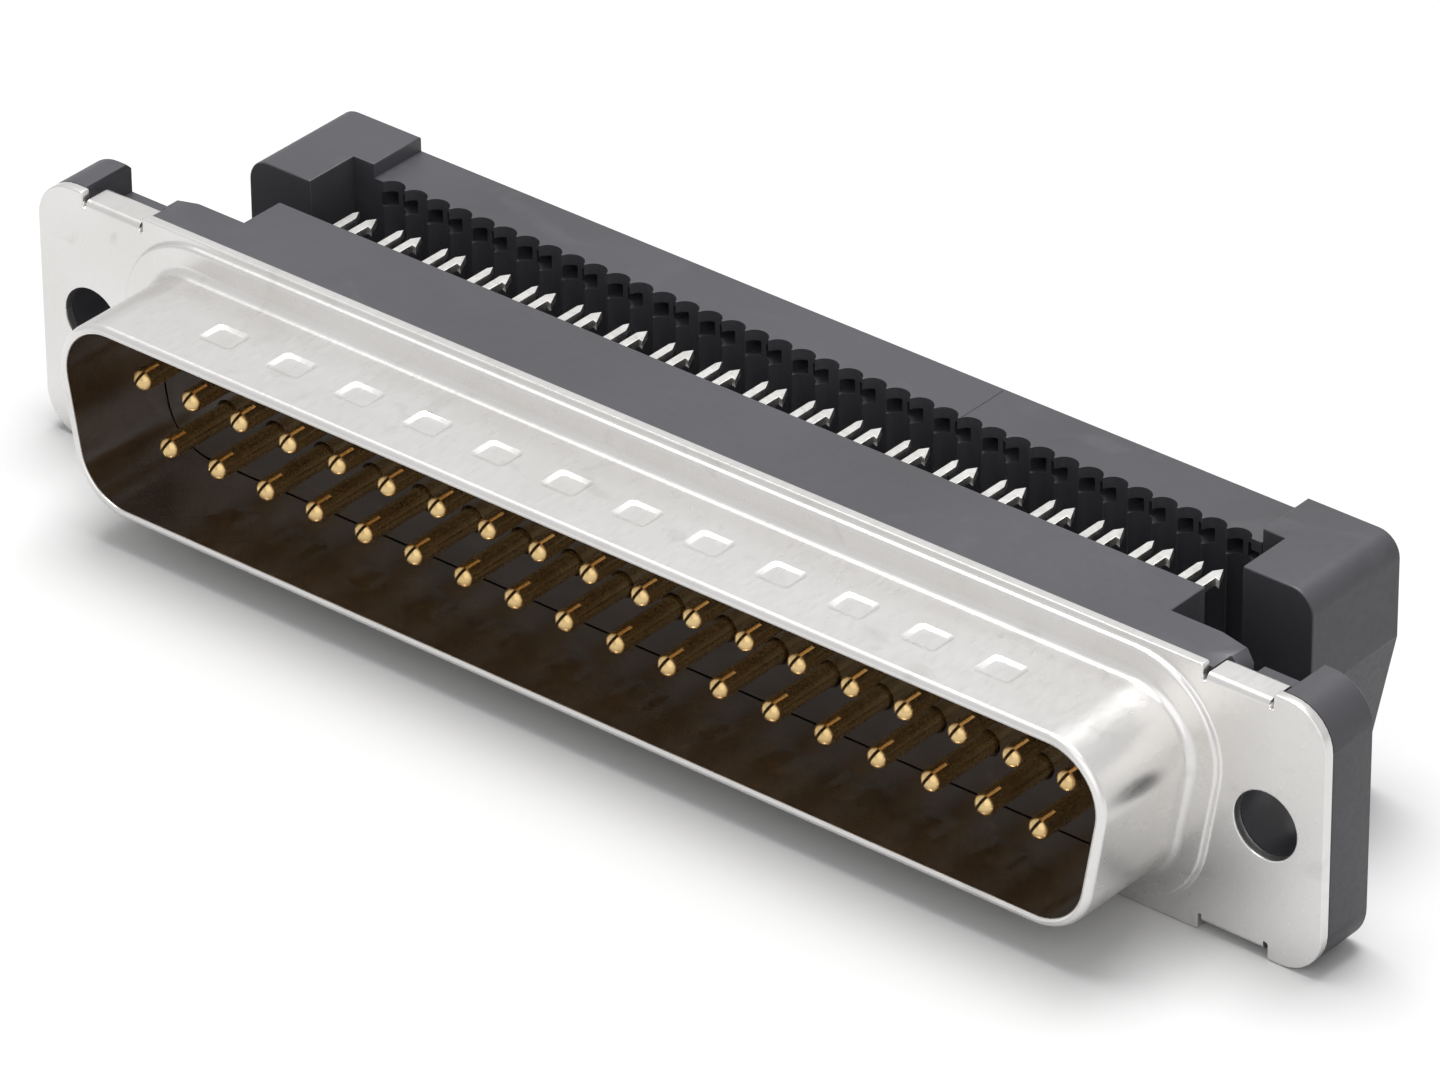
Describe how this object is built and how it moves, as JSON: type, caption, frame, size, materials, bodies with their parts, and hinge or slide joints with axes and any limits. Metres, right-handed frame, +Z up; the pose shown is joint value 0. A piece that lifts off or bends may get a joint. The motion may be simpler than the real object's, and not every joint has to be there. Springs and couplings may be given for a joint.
{
  "type": "d-sub connector",
  "caption": "Flat-cable d-sub plug: drawn metal hood round rows of pins, flange with screw holes, forked wire contacts, and a grooved cable cover that presses down on them.",
  "frame": {"origin": "midway between the two screw holes, on the flange's front face", "axes": "+X along the connector, -Y out of the mating face, +Y towards the cable cover, +Z up with the wide side of the D on top"},
  "size_m": [0.0694, 0.0189, 0.0126],
  "materials": {
    "tinned_steel": "bright tin plate",
    "dark_insulator": "moulded, glossy",
    "black_plastic": "moulded, fine satin",
    "contact_metal": "gold on the pin, tin on the fork"
  },
  "bodies": {
    "connector": {"front_shell": "tinned_steel", "front_insulator": "dark_insulator", "rear_body": "black_plastic", "contact_01": "contact_metal", "contact_02": "contact_metal", "contact_03": "contact_metal", "contact_04": "contact_metal", "contact_05": "contact_metal", "contact_06": "contact_metal", "contact_07": "contact_metal", "contact_08": "contact_metal", "contact_09": "contact_metal", "contact_10": "contact_metal", "contact_11": "contact_metal", "contact_12": "contact_metal", "contact_13": "contact_metal", "contact_14": "contact_metal", "contact_15": "contact_metal", "contact_16": "contact_metal", "contact_17": "contact_metal", "contact_18": "contact_metal", "contact_19": "contact_metal", "contact_20": "contact_metal", "contact_21": "contact_metal", "contact_22": "contact_metal", "contact_23": "contact_metal", "contact_24": "contact_metal", "contact_25": "contact_metal", "contact_26": "contact_metal", "contact_27": "contact_metal", "contact_28": "contact_metal", "contact_29": "contact_metal", "contact_30": "contact_metal", "contact_31": "contact_metal", "contact_32": "contact_metal", "contact_33": "contact_metal", "contact_34": "contact_metal", "contact_35": "contact_metal", "contact_36": "contact_metal", "contact_37": "contact_metal"},
    "cover": {"cable_cover": "black_plastic"}
  },
  "joints": [
    {"name": "cover_slide", "type": "slide", "parent": "connector", "child": "cover", "axis": [0, -1, 0], "range_m": [0, 0.0044]}
  ]
}
